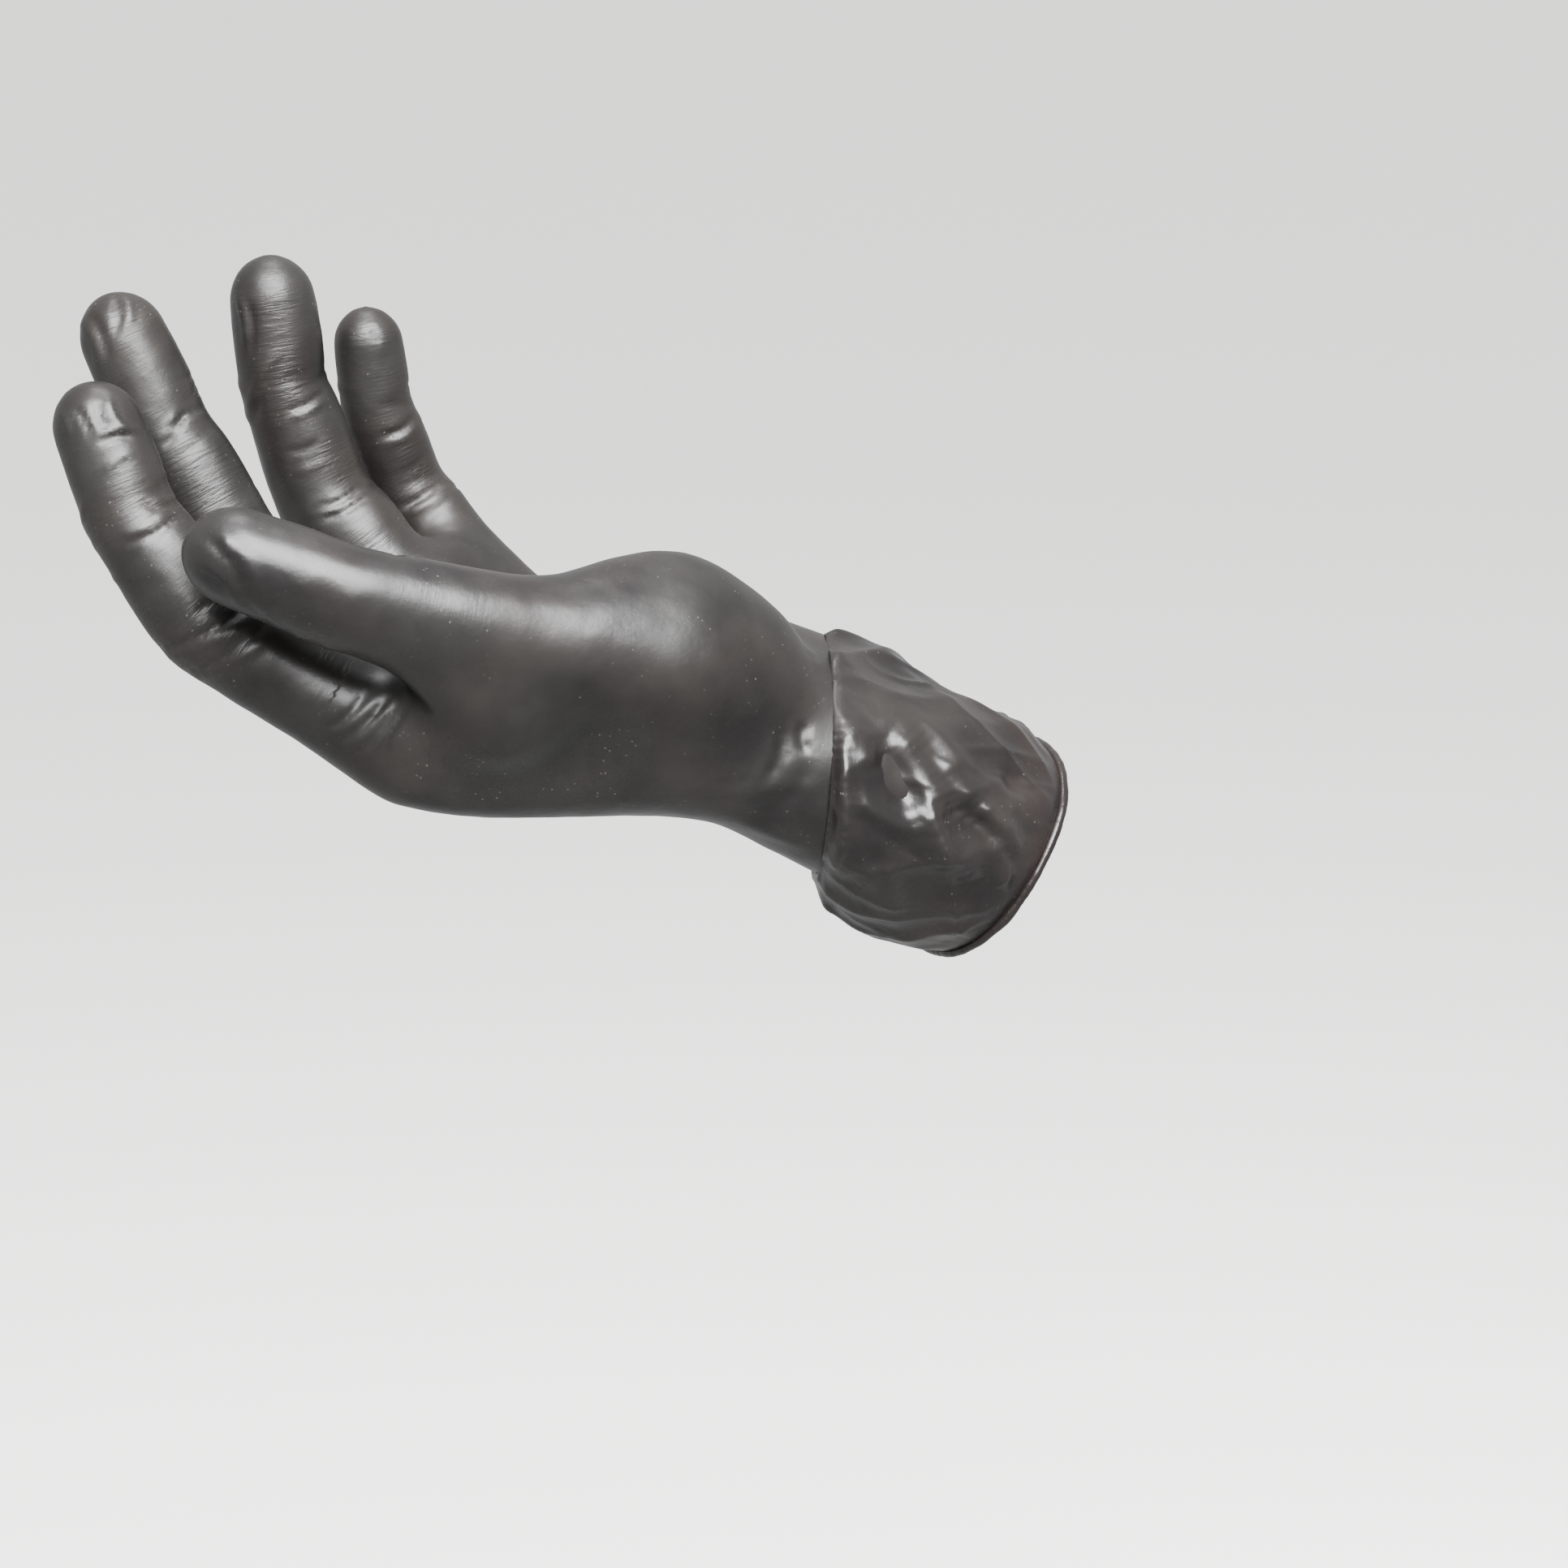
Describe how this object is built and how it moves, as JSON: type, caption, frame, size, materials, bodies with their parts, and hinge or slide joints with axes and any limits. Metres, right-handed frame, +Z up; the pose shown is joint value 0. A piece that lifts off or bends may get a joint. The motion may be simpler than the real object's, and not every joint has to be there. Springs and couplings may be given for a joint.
{
  "type": "disposable nitrile exam glove",
  "caption": "Thin black nitrile glove, left, as worn: palm up and hollowed, fingers curled up, thumb across, with a loose creased cuff ending in a rolled bead.",
  "frame": {"origin": "middle of the wrist, where the wrist fills the glove and holds it", "axes": "+Z up, the hand points along -X and upwards at the fingertips, the thumb side faces -Y, and the cuff opens towards +X, +Y and -Z"},
  "size_m": [0.2006, 0.1056, 0.1442],
  "materials": {
    "hand_film": "black nitrile film stretched over a hand, satin, with fine creases",
    "cuff_film": "black nitrile film hanging loose, glossier and crumpled, brown where it is thin"
  },
  "bodies": {
    "root": {"palm": "hand_film", "thumb": "hand_film", "index_finger": "hand_film", "middle_finger": "hand_film", "ring_finger": "hand_film", "little_finger": "hand_film", "cuff": "cuff_film", "cuff_bead": "cuff_film"}
  },
  "joints": []
}
